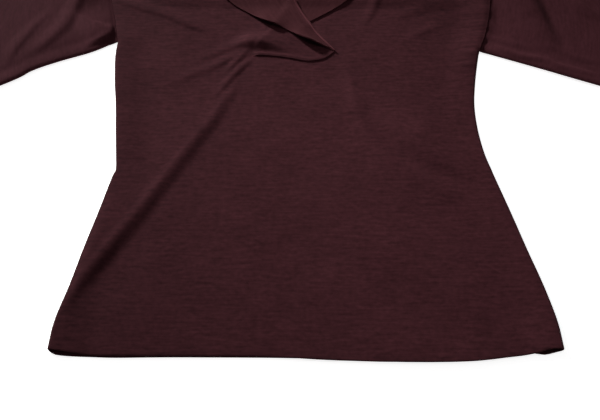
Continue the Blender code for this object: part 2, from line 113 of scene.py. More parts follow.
# The front: one piece of fine rayon jersey, slit from the left below the neck, so that its
# left side crosses over its right side. It lies on the back, with its side edges folded
# round to the side seams. Sizes are in millimetres, and heights are of the cloth's middle.
MM = 0.001
WALL = 0.95            # wall of the front, the back and the sleeves
SEAM = 0.22            # gap between two pieces at a seam
LAYING_Z = 0.6         # height of cloth that lies on the floor
LAYER = 1.6            # from there to the layer above, where they lie together
LOFT = 1.2             # extra height of the front in the middle of the body
ROLL = 1.2             # radius of the collar's roll along the neck
FLAP_Z = 0.75          # height of the collar's back flap
FOLD_RISE = 2.2        # how much higher the front stands along its side and shoulder folds
HEM_RISE = 2.2         # what the side folds gain at the hem's corners
HEM_LOFT = 1.4         # what the front gains along its hem
FOLD_EDGE = 2.8        # how far in the round edge of a side or shoulder fold reaches
FOLD_REACH = 38.0      # how far from a fold the front comes down again
TONGUE_RISE = 1.45     # the left front's height over the right front
CROSS_RISE = 1.95      # what it gains where it crosses the right collar leaf
FLAP_RAMP = 16.0       # how far the back takes to come down from the back flap
SLIT_END = -56.6       # where the slit ends on the left
UNDERLAP = -49.0       # where the right front begins, under the left one
HEM_ROWS = 8           # rows that a turned hem adds ahead of a grid

# Lengths that the grids' steps are shares of.
FRONT_WIDTH = 430.0
BACK_WIDTH = 440.0
BACK_LENGTH = 570.0
ARMHOLE_LENGTH = 200.0
SHOULDER_LENGTH = 139.0

SIDES = [  # y, left x, right x
    (-268.0, -244.2, 255.6), (-238.8, -241.7, 253.3), (-200.1, -232.3, 245.2),
    (-159.6, -223.6, 234.0), (-117.2, -213.3, 222.8), (-72.7, -203.2, 210.4),
    (-64.0, -200.2, 208.2), (-41.8, -202.3, 202.6), (-9.9, -206.0, 198.6),
    (23.1, -209.5, 198.3), (57.3, -214.3, 202.8), (92.7, -217.6, 209.6),
]
HEMS = [  # x, front y, back y
    (-244.2, -268.0, -268.0), (-240.5, -268.2, -270.6), (-236.0, -268.6, -272.1),
    (-224.0, -270.3, -273.4), (-200.0, -273.0, -274.4), (-178.0, -273.8, -275.0),
    (-140.0, -273.8, -274.6), (-96.0, -273.8, -274.6), (-31.0, -274.8, -275.0),
    (30.0, -278.4, -276.2), (104.0, -280.6, -277.6), (162.0, -279.8, -277.6),
    (201.0, -275.4, -273.6), (224.0, -272.2, -270.6), (235.0, -269.8, -271.9),
    (240.5, -268.2, -271.5), (247.0, -267.2, -269.8), (255.6, -268.0, -268.0),
]
ARMHOLES = [  # left x, left y, right x, right y
    (-217.0, 114.6, 211.6, 99.4), (-223.6, 149.0, 223.5, 133.0),
    (-231.0, 181.0, 233.0, 178.0), (-234.0, 215.0, 235.0, 215.0),
    (-228.5, 252.0, 229.0, 252.0), (-212.0, 289.0, 212.0, 289.0),
]
# The row where the body's two flaps begin, the left flap's free lip, the neck seams and the
# collar's outer edges.
JOIN = [(-217.0, 114.6), (-165.0, 108.0), (-110.0, 100.0), (-56.6, 92.6), (-49.0, 93.4),
        (0.0, 95.4), (60.0, 95.8), (130.0, 97.0), (211.6, 99.4)]
LIP = [(-56.6, 92.6), (-52.8, 93.2), (-49.0, 93.7), (-44.0, 93.6), (-36.0, 92.9),
       (-23.0, 91.4), (-9.6, 88.9), (1.0, 86.6), (12.0, 85.4), (26.3, 88.2), (34.2, 93.6),
       (40.6, 100.2)]
NECK_LEFT = [(40.6, 100.2), (24.7, 120.3), (11.2, 140.9), (0.4, 160.7), (-5.9, 173.7),
             (-22.0, 208.0), (-42.0, 249.0), (-61.0, 287.0), (-78.0, 325.0)]
NECK_RIGHT = [(-45.5, 106.5), (-25.0, 141.0), (-4.2, 178.8), (16.4, 214.0), (38.0, 248.0),
              (59.0, 287.0), (78.0, 325.0)]
NECK_BACK = [(-78.0, 325.0), (-64.0, 312.5), (-38.0, 304.6), (0.0, 302.0), (38.0, 304.6),
             (64.0, 312.5), (78.0, 325.0)]
LEAF_LEFT = [(37.2, 102.4), (17.0, 111.5), (-3.6, 121.5), (-24.4, 135.0), (-44.2, 145.2),
             (-63.0, 158.4), (-86.0, 176.0), (-125.0, 213.0), (-160.0, 256.0),
             (-182.0, 297.06)]
LEAF_RIGHT = [(-42.2, 108.4), (-24.0, 125.0), (0.0, 138.6), (17.3, 149.6), (39.9, 164.5),
              (60.2, 180.2), (100.0, 213.0), (140.0, 252.0), (166.0, 280.0), (182.0, 297.06)]
FLAP_TOP = (182.0, 297.06)
FLAP_CORNER = (165.0, 184.0)
SHOULDER_TIP = (212.0, 289.0)
NECK_POINT = (78.0, 325.0)

# A fold is a ridge along a path of (x, y, height), with how far it reaches on its left and
# on its right, looking along the path.
Fold = namedtuple("Fold", "path left right")
BODY_FOLDS = [
    Fold([(-73, 60, 0.1), (-78, 43, 0.4), (-85, 33, 0.6), (-90, 24, 0.7), (-98.5, 4.5, 0.85),
          (-113, -18, 0.9),
          (-127, -41, 1.2), (-141, -64, 1.4), (-154, -85, 1.6), (-166, -106, 1.6),
          (-192, -147, 1.6), (-216, -186, 1.3), (-227, -204, 0.8), (-235, -223, 0.3)],
         17.0, 8.5),
    Fold([(-73, 60, 0.1), (-78, 43, 0.8), (-85, 33, 1.4), (-90, 24, 1.7), (-98.5, 4.5, 2.1),
          (-113, -18, 2.4),
          (-127, -41, 2.7), (-141, -64, 3.0), (-154, -85, 3.2), (-166, -106, 3.4),
          (-192, -147, 3.4), (-216, -186, 2.8), (-227, -204, 2.0), (-235, -223, 0.8)],
         17.0, 55.0),
    Fold([(-63, 99.5, 0.3), (-70, 90.5, 1.6), (-75, 85, 1.6), (-81, 76, 1.2), (-87, 68, 0.2)],
         5.5, 8.0),
    Fold([(-57, 87, 0.3), (-63, 82, 1.5), (-69.5, 74.5, 2.0), (-78.5, 63, 1.8), (-89.5, 46, 1.0),
          (-96, 36, 0.2)], 6.0, 9.0),
    Fold([(-128, 83, 0.2), (-104, 95, 0.8), (-92, 102, 1.1), (-80, 108, 1.6), (-70, 111.5, 3.4),
          (-59, 113, 5.6), (-46, 112, 5.0), (-34, 108.5, 3.0), (-22, 103, 1.1), (-10, 98, 0.2)],
         20.0, 10.5),
    Fold([(-63, 100.5, -0.2), (-52, 100, -1.4), (-40, 99, -1.4), (-28, 97, -0.7),
          (-18, 96, -0.1)], 8.0, 4.5),
    Fold([(-66, 98, 0.4), (-84, 89, 1.2), (-103, 76, 1.3), (-125, 66, 1.0), (-150, 53, 0.2)],
         6.0, 12.0),
    Fold([(-48, 123, 0.2), (-31, 115, 0.9), (-14, 105, 0.8), (0, 98, 0.1)], 9.0, 4.5),
    Fold([(-226, 181, 0.8), (-194, 168, 1.7), (-164, 157, 2.0), (-137, 143, 2.3),
          (-117, 134, 2.0), (-101, 119, 0.3)], 18.0, 7.0),
    Fold([(55, 75, 0.3), (57.5, 55, 1.5), (64, 28, 1.6), (71, 6, 0.3), (84, -16, -1.5),
          (101, -35, -2.6), (120, -53, -3.0), (139, -66, -2.8), (158, -78, -2.0),
          (174, -91, -0.2)], 22.0, 14.0),
    Fold([(57, 44, 0.2), (68, 10, 1.0), (84, -16, 2.1), (101, -35, 2.7), (120, -53, 2.9),
          (139, -66, 2.7), (158, -78, 2.0), (180, -94, 0.3)], 72.0, 60.0),
    Fold([(90, 8, 0.4), (112, -17, 2.4), (136, -38, 3.2), (166, -60, 2.1), (188, -74, 0.2)],
         44.0, 17.0),
    Fold([(48, 48, 0.2), (78, -22, 0.8), (106, -56, 0.9), (148, -84, 0.2)], 14.0, 30.0),
    Fold([(121, -131, 0.2), (155, -157, 1.3), (173, -174, 1.4), (190, -197, 0.2)], 14.0, 6.0),
    Fold([(96, 182, 1.4), (86, 158, 1.2), (77, 138, 0.2)], 6.5, 12.0),
    Fold([(200, 177, 0.7), (143, 165, 1.0), (118, 152, 0.2)], 9.0, 14.0),
    Fold([(168, 140, 0.3), (146, 129, 0.8), (125, 117, 0.2)], 6.0, 12.0),
    Fold([(188, 81, 0.3), (198, 78.6, 1.4), (208, 76.5, 1.6)], 6.0, 4.0),
    Fold([(190, 99, 0.2), (200, 96, 1.1), (210, 93, 1.2)], 5.0, 4.0),
    Fold([(-198, -34, 0.9), (-182, -44, 1.1), (-168, -53, 0.2)], 10.0, 6.0),
    Fold([(-184, 33, 0.2), (-165, 28, 0.7), (-147, 26, 0.1)], 10.0, 5.0),
    Fold([(-216, 80, 0.7), (-206, 77, 0.6), (-194, 74, 0.1)], 6.0, 5.0),
]
# Slow swells of the cloth where it lies loose: height, length of a wave, way and phase.
Swell = namedtuple("Swell", "height length turn phase")
SWELLS = [Swell(0.34, 141.0, 0.35, 0.4), Swell(0.26, 97.0, 1.72, 2.1),
          Swell(0.18, 63.0, 0.95, 4.4), Swell(0.10, 37.0, 2.45, 1.2),
          Swell(0.06, 23.0, 0.1, 3.3)]


def ease(t):
    """0 below 0, 1 above 1, and a smooth rise between."""
    t = np.clip(t, 0.0, 1.0)
    return t * t * (3.0 - 2.0 * t)


def spline(points, per_span=12):
    """A dense line through points of any number of columns: Catmull-Rom spans."""
    p = np.array(points, float)
    ends = np.vstack([2 * p[0] - p[1], p, 2 * p[-1] - p[-2]])
    line = []
    for a, b, c, d in zip(ends, ends[1:], ends[2:], ends[3:]):
        for t in np.arange(per_span) / per_span:
            line.append(0.5 * (2 * b + (c - a) * t + (2 * a - 5 * b + 4 * c - d) * t ** 2
                               + (3 * b - a - 3 * c + d) * t ** 3))
    return np.vstack(line + [p[-1]])


def walk(line, t):
    """Points at the fractions t of a line's length."""
    run = np.concatenate([[0.0], np.cumsum(np.hypot(*np.diff(line, axis=0).T))])
    at = np.asarray(t, float) * run[-1]
    return np.stack([np.interp(at, run, line[:, 0]), np.interp(at, run, line[:, 1])], -1)


def nearest(x, y, line):
    """How far each x, y is from a line, its place along the line's points, and its side."""
    best = np.full(np.shape(x), 1e9)
    along = np.zeros(np.shape(x))
    side = np.zeros(np.shape(x))
    for i in range(len(line) - 1):
        ax, ay = line[i, :2]
        dx, dy = line[i + 1, :2] - line[i, :2]
        t = np.clip(((x - ax) * dx + (y - ay) * dy) / (dx * dx + dy * dy), 0.0, 1.0)
        d = np.hypot(x - ax - t * dx, y - ay - t * dy)
        closer = d < best
        best = np.where(closer, d, best)
        along = np.where(closer, i + t, along)
        side = np.where(closer, np.sign(dx * (y - ay) - dy * (x - ax)), side)
    return best, along, side


def fold_height(x, y, folds):
    """What the folds add at x, y. A fold is narrower where it is lower."""
    z = np.zeros(np.shape(x))
    for fold in folds:
        line = spline(fold.path, 5)
        d, s, side = nearest(x, y, line)
        height = np.interp(s, np.arange(len(line)), line[:, 2])
        width = np.where(side > 0, fold.left, fold.right)
        width = width * (0.55 + 0.45 * np.abs(height) / np.abs(line[:, 2]).max())
        round_off = 0.2 * width
        share = np.clip(1.0 - (np.hypot(d, round_off) - round_off) / (0.82 * width), 0.0, 1.0)
        z = z + height * (0.5 * share ** 2 + 0.5 * ease(share))
    return z


def swell(x, y, shift=0.0):
    """What the slow swells add at x, y; shift gives another piece its own."""
    z = np.zeros(np.shape(x))
    for s in SWELLS:
        way = x * math.cos(s.turn) + y * math.sin(s.turn)
        across = y * math.cos(s.turn) - x * math.sin(s.turn)
        z = z + s.height * np.sin(way * 2 * math.pi / s.length + s.phase + shift
                                  + 1.1 * np.sin(across * 2 * math.pi / (2.3 * s.length)))
    return z


SIDE_LEFT = spline([(s[1], s[0]) for s in SIDES] + [ARMHOLES[0][:2]], 6)
SIDE_RIGHT = spline([(s[2], s[0]) for s in SIDES] + [ARMHOLES[0][2:]], 6)
ARM_LEFT = spline([a[:2] for a in ARMHOLES], 6)
ARM_RIGHT = spline([a[2:] for a in ARMHOLES], 6)
SHOULDERS = [np.array([(hand * SHOULDER_TIP[0], SHOULDER_TIP[1]),
                       (hand * NECK_POINT[0], NECK_POINT[1])]) for hand in (-1, 1)]
NECK_A = spline(NECK_LEFT)
NECK_B = spline(NECK_RIGHT)
LIP_LINE = spline(LIP, 8)
LEAF_A = spline(LEAF_LEFT)
LEAF_B = spline(LEAF_RIGHT)


def to_fold(x, y):
    """Distance to the nearest side or shoulder fold; a shoulder's runs on past its ends."""
    lines = [SIDE_LEFT, SIDE_RIGHT]
    for tip, point in SHOULDERS:
        way = (point - tip) / np.hypot(*(point - tip))
        lines.append(np.array([tip - 14 * way, point + 14 * way]))
    return np.min([nearest(x, y, line)[0] for line in lines], axis=0)


def to_armhole(x, y):
    """Distance to the nearest armhole seam, and the place along it."""
    left, along, _ = nearest(x, y, ARM_LEFT)
    right, there, _ = nearest(x, y, ARM_RIGHT)
    return np.minimum(left, right), np.where(left < right, along, there + 3.0)


def back_z(x, y):
    """The back: flat on the floor, and raised where it lies on the collar's back flap."""
    half = FLAP_CORNER[0] + (y - FLAP_CORNER[1]) * (FLAP_TOP[0] - FLAP_CORNER[0]) \
        / (FLAP_TOP[1] - FLAP_CORNER[1])
    out = np.hypot(0.45 * np.maximum(np.abs(x) - half, 0.0),
                   np.maximum(FLAP_CORNER[1] - y, 0.0))
    over = ease(1.0 - (out - 2.0) / FLAP_RAMP)
    return LAYING_Z + (FLAP_Z + 2 * ROLL - LAYING_Z) * over


def front_z(x, y, folds=True):
    """The front as one layer, without the round edge of its folds."""
    e = to_fold(x, y)
    rise = FOLD_RISE + HEM_RISE * ease((-180.0 - y) / 80.0)
    z = back_z(x, y) + LAYER + rise * ease(1.0 - (e - FOLD_EDGE) / FOLD_REACH) \
        + LOFT * ease((e - 30.0) / 50.0) + HEM_LOFT * ease((-215.0 - y) / 60.0) * ease(e / 30.0)
    if folds:
        arm, along = to_armhole(x, y)
        loose = ease((e - 6.0) / 40.0) * ease((arm - 6.0) / 40.0)
        z = z + fold_height(x, y, BODY_FOLDS) * ease(e / 9.0) + swell(x, y) * loose
        crest = np.where(x > 0, 4.0 * ease(1.0 - arm / 42.0) - 1.0 * ease(1.0 - arm / 6.0),
                         -0.3 * ease(1.0 - arm / 5.0))
        z = z + crest * (1.0 + 0.12 * np.sin(along * 2.1))
        pucker = np.sin(y / 2.7 + 2.0 * np.sin(y / 17.0)) * ease(1.0 - np.abs(e - 9.0) / 9.0)
        z = z + 0.16 * pucker * ease((60.0 - np.abs(y + 90.0)) / 300.0 + 0.6)
    return z


def crossed_z(x, y, wider=12.0):
    """The left front where it lies over the right front and its collar leaf."""
    under = np.interp(y, NECK_B[:, 1], NECK_B[:, 0])
    outer = np.interp(y, LEAF_B[:, 1], LEAF_B[:, 0])
    tongue = ease((x - under + 11.0) / 7.6)
    cross = ease((x - under + 30.0 + wider) / (24.0 + wider)) \
        * ease((outer + 34.0 + wider - x) / (26.0 + wider)) * ease((y - 92.0) / 13.0)
    edge, _, _ = nearest(x, y, LIP_LINE)
    hem = 0.75 * ease(1.0 - np.abs(edge - 2.4) / 2.6) + 0.15 * ease(1.0 - edge / 9.0)
    tip = ease(1.0 - np.hypot(x - LIP[-1][0], y - LIP[-1][1]) / 28.0)
    return front_z(x, y) + (TONGUE_RISE - 0.15 * tip) * tongue + CROSS_RISE * cross \
        + hem * (1.0 - tip) * tongue


def fold_edges(x, y, top, below, is_front):
    """Round the front or the back along the side and shoulder folds, to the seam."""
    e = np.minimum(to_fold(x, y), FOLD_EDGE)
    bend = np.sqrt(1.0 - ((FOLD_EDGE - e) / FOLD_EDGE) ** 2)
    neck = np.hypot(np.abs(x) - NECK_POINT[0], y - NECK_POINT[1])
    bend = bend + (1.0 - bend) * ease(1.5 - neck / 16.0)
    middle = (top + below) / 2.0
    if is_front:
        return middle + SEAM / 2 + (top - middle - SEAM / 2) * bend
    return middle - SEAM / 2 - (middle - SEAM / 2 - below) * bend


def patch(bottom, top, left, right, u, v):
    """Points of a four-sided piece, from its edges: rows v, columns u (a Coons patch)."""
    u = np.asarray(u)[None, :, None]
    v = np.asarray(v)[:, None, None]
    b, t = np.array(bottom)[None], np.array(top)[None]
    s, e = np.array(left)[:, None], np.array(right)[:, None]
    corners = ((1 - u) * (1 - v) * b[:, :1] + u * (1 - v) * b[:, -1:]
               + (1 - u) * v * t[:, :1] + u * v * t[:, -1:])
    return (1 - v) * b + v * t + (1 - u) * s + u * e - corners


def edge_steps(length):
    """Fractions of a length that follow the round edge of a fold, from the fold inwards."""
    turns = [FOLD_EDGE * (1 - math.cos(math.radians(a))) for a in range(0, 91, 15)]
    return [t / length for t in turns]


def along_by(points):
    """Fractions of the way along points, by length."""
    run = np.concatenate([[0], np.cumsum(np.hypot(*np.diff(points, axis=0).T))])
    return run / run[-1]


def between(start, stop, step):
    """Evenly spaced numbers after start, up to but without stop, about step apart."""
    count = max(int(round(abs(stop - start) / step)), 1)
    return list(np.linspace(start, stop, count + 1)[1:-1])


def sheet_object(name, grids, wall, material):
    """A piece of cloth: grids of points with real-size UVs, welded, then given its wall."""
    points, faces, uvs, start = [], [], [], 0
    for grid, flat in grids:
        rows, cols = grid.shape[:2]
        index = start + np.arange(rows * cols).reshape(rows, cols)
        quads = np.stack([index[:-1, :-1], index[:-1, 1:], index[1:, 1:], index[1:, :-1]], -1)
        points.append(grid.reshape(-1, 3) * MM)
        uvs.append(flat.reshape(-1, 2) * MM)
        faces.append(quads.reshape(-1, 4))
        start += rows * cols
    points, faces, uvs = np.vstack(points), np.vstack(faces), np.vstack(uvs)
    mesh = bpy.data.meshes.new(name)
    mesh.from_pydata(points.tolist(), [], faces.tolist())
    layer = mesh.uv_layers.new(name="cloth")
    layer.data.foreach_set("uv", uvs[faces.reshape(-1)].reshape(-1))
    bm = bmesh.new()
    bm.from_mesh(mesh)
    bmesh.ops.remove_doubles(bm, verts=bm.verts, dist=0.02 * MM)
    bm.to_mesh(mesh)
    bm.free()
    mesh.materials.append(material)
    piece = bpy.data.objects.new(name, mesh)
    bpy.context.scene.collection.objects.link(piece)
    bpy.ops.object.select_all(action="DESELECT")
    piece.select_set(True)
    bpy.context.view_layer.objects.active = piece
    shell = piece.modifiers.new("wall", "SOLIDIFY")
    shell.thickness = wall * MM
    shell.offset = 0.0
    bpy.ops.object.modifier_apply(modifier=shell.name)
    bpy.ops.object.shade_smooth_by_angle(angle=math.radians(50.0))
    piece.select_set(False)
    return piece


def lift(plan, z):
    return np.concatenate([plan, z[..., None]], axis=-1)


def turned_hem(grid, rise):
    """Rows ahead of a grid's first row that turn its edge over, towards its inside."""
    edge = grid[0]
    e = to_fold(edge[:, 0], edge[:, 1])
    reach = 0.12 + 0.36 * ease((e - 1.0) / 9.0)
    rows = []
    for back in (6.0, 3.0):
        rows.append(edge + np.stack([0 * reach, back * ease(e / 10.0) * reach,
                                     rise * 2 * reach], -1))
    for angle in (180, 150, 120, 90, 60, 30):
        a = math.radians(angle)
        rows.append(edge + np.stack([0 * reach, -reach * math.sin(a),
                                     rise * reach * (1 - math.cos(a))], -1))
    return np.concatenate([np.array(rows), grid])


def jersey(name, deep, light, roll_highlight=None):
    """Fine rayon jersey, piece-dyed wine: matt, with slubs along its courses.

    The yarn is uneven, so that each course has thicker and thinner stretches 10 to 40 mm
    long. They show as faint streaks 1 to 2 mm high. The stitches, taken as 0.7 mm wide,
    are only a fine unevenness of the bump. A short nap gives a faint sheen.
    """
    material, tree, shader = new_material(name)
    uv = add_node(tree, "ShaderNodeUVMap", {"uv_map": "cloth"}).outputs["UV"]
    slub_place = add_node(tree, "ShaderNodeMapping", {"Scale": (165.0, 265.0, 1.0)}, Vector=uv)
    slub = add_node(tree, "ShaderNodeTexNoise", {"Scale": 1.0, "Detail": 3.0, "Roughness": 0.6},
                    Vector=slub_place.outputs["Vector"])
    long_place = add_node(tree, "ShaderNodeMapping", {"Scale": (42.0, 330.0, 1.0)}, Vector=uv)
    long_slub = add_node(tree, "ShaderNodeTexNoise", {"Scale": 1.0, "Detail": 2.0},
                         Vector=long_place.outputs["Vector"])
    blotch_place = add_node(tree, "ShaderNodeMapping", {"Scale": (14.0, 20.0, 1.0)}, Vector=uv)
    blotch = add_node(tree, "ShaderNodeTexNoise", {"Scale": 1.0, "Detail": 2.0},
                      Vector=blotch_place.outputs["Vector"])
    both = add_node(tree, "ShaderNodeMix", {"Factor": 0.45},
                    A=slub.outputs["Fac"], B=long_slub.outputs["Fac"])
    toned = add_node(tree, "ShaderNodeMix", {"Factor": 0.15},
                     A=both.outputs["Result"], B=blotch.outputs["Fac"])
    colour = add_node(tree, "ShaderNodeValToRGB", Fac=toned.outputs["Result"])
    colour.color_ramp.elements[0].position = 0.3
    colour.color_ramp.elements[0].color = linear(deep)
    colour.color_ramp.elements[1].position = 0.7
    colour.color_ramp.elements[1].color = linear(light)
    if roll_highlight:
        # Painted highlight: the band over the rolled edge, 1 to 4 mm from the seam, is painted a
        # little lighter.
        place = add_node(tree, "ShaderNodeSeparateXYZ", Vector=uv).outputs["Y"]
        off = add_node(tree, "ShaderNodeMath", {"operation": "SUBTRACT"})
        tree.links.new(place, off.inputs[0])
        off.inputs[1].default_value = 2.6 * MM
        size = add_node(tree, "ShaderNodeMath", {"operation": "ABSOLUTE"})
        tree.links.new(off.outputs[0], size.inputs[0])
        share = add_node(tree, "ShaderNodeMapRange",
                         {"From Min": 1.2 * MM, "From Max": 2.2 * MM, "To Min": 1.0, "To Max": 0.0},
                         Value=size.outputs[0])
        painted_highlight = add_node(tree, "ShaderNodeMix", {"data_type": "RGBA"})
        tree.links.new(share.outputs["Result"], painted_highlight.inputs[0])
        tree.links.new(colour.outputs["Color"], painted_highlight.inputs[6])
        painted_highlight.inputs[7].default_value = linear(roll_highlight)
        tree.links.new(painted_highlight.outputs[2], shader.inputs["Base Color"])
    else:
        tree.links.new(colour.outputs["Color"], shader.inputs["Base Color"])
    stitch_place = add_node(tree, "ShaderNodeMapping", {"Scale": (900.0, 1300.0, 1.0)}, Vector=uv)
    stitch = add_node(tree, "ShaderNodeTexNoise", {"Scale": 1.0, "Detail": 1.0},
                      Vector=stitch_place.outputs["Vector"])
    height = add_node(tree, "ShaderNodeMix", {"Factor": 0.4},
                      A=slub.outputs["Fac"], B=stitch.outputs["Fac"])
    bump = add_node(tree, "ShaderNodeBump", {"Strength": 0.35, "Distance": 0.0004},
                    Height=height.outputs["Result"])
    tree.links.new(bump.outputs["Normal"], shader.inputs["Normal"])
    shader.inputs["Roughness"].default_value = 0.88
    shader.inputs["IOR"].default_value = 1.47
    shader.inputs["Specular IOR Level"].default_value = 0.04
    shader.inputs["Sheen Weight"].default_value = 0.02
    shader.inputs["Sheen Roughness"].default_value = 0.45
    shader.inputs["Sheen Tint"].default_value = linear("#B06A6C")
    return material


body_jersey = jersey("wine rayon jersey", "#1E0B0E", "#371A1E")

edge = edge_steps(FRONT_WIDTH)
left_x = [-217.0 + FRONT_WIDTH * f for f in edge]
left_x += between(left_x[-1], -96.0, 3.0) + [-96.0] + between(-96.0, SLIT_END, 1.8) + [SLIT_END]
slit_x = [-54.7, -52.8, -50.9, UNDERLAP]
right_x = between(UNDERLAP, 46.0, 1.9) + [46.0] + between(46.0, 208.8, 3.0)
right_x += [211.6 - FRONT_WIDTH * f for f in reversed(edge)]
columns = np.array(left_x + slit_x + right_x)
join_line = np.array(JOIN)
join = np.stack([columns, np.interp(columns, join_line[:, 0], join_line[:, 1])], -1)
u = (columns - columns[0]) / (columns[-1] - columns[0])
even = u.copy()
inner = slice(len(edge) - 1, len(u) - len(edge) + 1)
even[inner] = np.linspace(u[inner][0], u[inner][-1], len(u[inner]))
v = np.array([0.0] + between(0.0, 0.93, 0.0082) + [0.93] + between(0.93, 1.0, 0.0050) + [1.0])
front_hem = spline([(h[0], h[1]) for h in HEMS], 8)
low = patch(walk(front_hem, 0.3 * u + 0.7 * even), join, walk(SIDE_LEFT, v),
            walk(SIDE_RIGHT, v), u, v)
low_z = fold_edges(low[..., 0], low[..., 1], front_z(low[..., 0], low[..., 1]),
                   back_z(low[..., 0], low[..., 1]), True)

up = [0.0] + between(0.0, 0.36, 0.0085) + [0.36] + between(0.36, 0.985, 0.0145)
up = np.array(up + [1 - f for f in reversed(edge_steps(ARMHOLE_LENGTH))])
lip = walk(LIP_LINE, np.linspace(0.0, 1.0, 54)[1:])
bottom = np.vstack([join[:len(left_x)], lip])
ul = along_by(bottom)
shoulder_edge = edge_steps(SHOULDER_LENGTH)
shoulder_u = np.concatenate([
    shoulder_edge, np.linspace(shoulder_edge[-1], 1.0, len(ul) - len(edge) + 1)[1:]])
left = patch(bottom, walk(SHOULDERS[0], shoulder_u), walk(ARM_LEFT, up), walk(NECK_A, up),
             ul, up)
left_z = fold_edges(left[..., 0], left[..., 1], crossed_z(left[..., 0], left[..., 1]),
                    back_z(left[..., 0], left[..., 1]), True)

bottom = join[len(left_x) + len(slit_x) - 1:]
ur = along_by(bottom)
neck_up = np.clip((up - up[1]) / (1 - up[1]), 0.0, 1.0)
neck_side = np.vstack([bottom[:1], walk(NECK_B, neck_up[1:])])
shoulder_u = np.concatenate([
    shoulder_edge, np.linspace(shoulder_edge[-1], 1.0, len(ur) - len(edge) + 1)[1:]])
right = patch(bottom, walk(SHOULDERS[1], shoulder_u)[::-1], neck_side, walk(ARM_RIGHT, up),
              ur, up)
right_z = fold_edges(right[..., 0], right[..., 1], front_z(right[..., 0], right[..., 1]),
                     back_z(right[..., 0], right[..., 1]), True)
left_z[0, :len(left_x)] = low_z[-1, :len(left_x)]
right_z[0] = low_z[-1, len(left_x) + len(slit_x) - 1:]
low_grid = turned_hem(lift(low, low_z), -1)
low_flat = np.concatenate([np.repeat(low[:1], HEM_ROWS, axis=0), low])
front = sheet_object("jersey_front", [(low_grid, low_flat), (lift(left, left_z), left),
                                      (lift(right, right_z), right)], WALL, body_jersey)
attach(front, "root")
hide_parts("front")


# The back: one piece of the same jersey, flat on the floor, open at the hem and the neck.
# It rises a little over the collar's back flap, which lies under it, and has creases of its
# own from lying loose, all less than a millimetre deep.
BACK_FOLDS = [
    Fold([(-186, 96, 0.1), (-150, 62, 0.5), (-118, 22, 0.6), (-96, -26, 0.1)], 12.0, 20.0),
    Fold([(172, 118, 0.1), (128, 84, 0.6), (92, 61, 0.5), (64, 28, 0.1)], 18.0, 11.0),
    Fold([(-168, -62, 0.1), (-122, -104, 0.4), (-58, -131, 0.5), (-14, -172, 0.1)], 16.0, 24.0),
    Fold([(150, -40, 0.1), (118, -88, 0.5), (104, -142, 0.4), (76, -190, 0.1)], 21.0, 13.0),
    Fold([(20, 112, 0.1), (8, 66, 0.4), (-18, 30, 0.1)], 10.0, 15.0),
    Fold([(-40, -36, 0.1), (6, -58, 0.5), (58, -66, 0.1)], 14.0, 10.0),
]
edge = edge_steps(BACK_WIDTH)
half = edge + between(edge[-1], 0.5, 0.0105)
u = np.array(half + [0.5] + [1 - f for f in reversed(half)])
share = (SHOULDER_TIP[0] - NECK_POINT[0]) / (2 * SHOULDER_TIP[0])
neck_back = spline(NECK_BACK)
top = []
for f in u:
    if f <= share:
        top.append(walk(SHOULDERS[0], f / share))
    elif f < 1 - share:
        top.append(walk(neck_back, (f - share) / (1 - 2 * share)))
    else:
        top.append(walk(SHOULDERS[1], (1 - f) / share))
UNDERARM = 0.69        # the underarm's share of the way from the hem to the shoulder
v = [0.0] + between(0.0, UNDERARM, 0.0105) + [UNDERARM] + between(UNDERARM, 0.995, 0.0085)
v = np.array(v + [1 - f for f in reversed(edge_steps(BACK_LENGTH))])
low_part = v <= UNDERARM
sides = [np.vstack([walk(side, v[low_part] / UNDERARM),
                    walk(arm, (v[~low_part] - UNDERARM) / (1 - UNDERARM))])
         for side, arm in ((SIDE_LEFT, ARM_LEFT), (SIDE_RIGHT, ARM_RIGHT))]
back_hem = spline([(h[0], h[2]) for h in HEMS], 8)
plan = patch(walk(back_hem, u), np.array(top), sides[0], sides[1], u, v)
x, y = plan[..., 0], plan[..., 1]
creased = back_z(x, y) + fold_height(x, y, BACK_FOLDS) * ease((to_fold(x, y) - 22.0) / 20.0)
z = fold_edges(x, y, front_z(x, y, folds=False), creased, False)
grid = turned_hem(lift(plan, z), 1)
flat = np.concatenate([np.repeat(plan[:1], HEM_ROWS, axis=0), plan])
back = sheet_object("jersey_back", [(grid[:, ::-1], flat[:, ::-1])], WALL, body_jersey)
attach(back, "root")
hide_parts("back")


# The sailor collar: two layers of the jersey sewn together, turned and pressed. It rolls
# over the neck seam and lies on the front as two pointed leaves, and under the back as a
# square flap. The left leaf is over the right one and stands off in two soft pockets.
COLLAR_WALL = 1.5
COLLAR_GAP = 0.35      # gap between the collar and the neck edge behind the shoulders
LEAF_LIFT = 0.5        # how far the collar's outer edge stands off
Pocket = namedtuple("Pocket", "x y reach lift")
POCKETS = [Pocket(-38.0, 141.0, 27.0, 6.8), Pocket(10.0, 113.0, 29.0, 8.8),
           Pocket(-112.0, 200.0, 40.0, 1.6), Pocket(118.0, 230.0, 46.0, 4.0)]
LEAF_STEPS = np.concatenate([[0.0, 0.03, 0.07, 0.12, 0.18], np.linspace(0.25, 0.88, 20),
                             [0.91, 0.94, 0.965, 0.985, 1.0]])
ROLL_TURNS = [math.radians(a) for a in (0, 20, 40, 60, 80, 100, 120, 140, 160)]


def leaf_lift(plan, w, visible):
    """How far a leaf stands off what it lies on, at the share w of its width, and how much
    of that is in pockets."""
    up = LEAF_LIFT * w ** 2 + 0.8 * ease(1.0 - np.abs(w - 0.035) / 0.055)
    pockets = 0.0
    for p in POCKETS:
        away = np.hypot(plan[..., 0] - p.x, plan[..., 1] - p.y) / p.reach
        pockets = pockets + p.lift * ease(1.0 - away) * w ** 2
    return (up + pockets) * visible, pockets * visible


